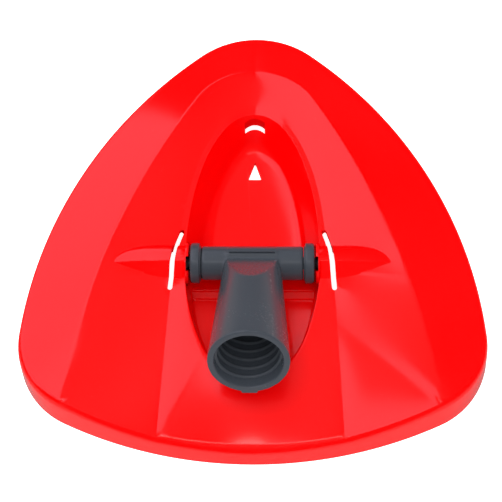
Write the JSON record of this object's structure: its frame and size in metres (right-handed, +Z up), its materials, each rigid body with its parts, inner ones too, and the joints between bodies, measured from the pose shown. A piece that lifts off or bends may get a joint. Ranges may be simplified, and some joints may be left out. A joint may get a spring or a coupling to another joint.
{
  "type": "mop head base",
  "caption": "Triangular mop head base with an oval recess and a T-shaped threaded handle socket that tilts in snap-in jaws.",
  "frame": {"origin": "centre of the footprint on the floor plane", "axes": "+Z up, -Y towards the wide front edge that the socket leans over at rest, +Y towards the single rear corner, +X to the right"},
  "size_m": [0.1958, 0.1954, 0.061],
  "materials": {
    "shell_red": "bright red moulded polypropylene with a soft gloss",
    "frame_red": "red moulded plastic, satin",
    "clip_natural": "natural white acetal, satin",
    "screw_steel": "zinc-plated steel",
    "swivel_grey": "slate grey moulded plastic, satin",
    "axle_dark": "near-black acetal pin"
  },
  "bodies": {
    "head": {"top_shell": "shell_red", "refill_frame": "frame_red", "refill_clip_rear": "clip_natural", "refill_clip_left": "clip_natural", "refill_clip_right": "clip_natural", "frame_screw_1": "screw_steel", "frame_screw_2": "screw_steel", "frame_screw_3": "screw_steel", "frame_screw_4": "screw_steel", "frame_screw_5": "screw_steel", "frame_screw_6": "screw_steel"},
    "swivel": {"swivel_tee": "swivel_grey", "pivot_collar_left": "swivel_grey", "pivot_collar_right": "swivel_grey", "pivot_axle": "axle_dark"}
  },
  "joints": [
    {"name": "swivel_tilt", "type": "hinge", "parent": "head", "child": "swivel", "pos_m": [0, -0.0163, 0.02], "axis": [-1, 0, 0], "range_deg": [-8, 134]}
  ]
}
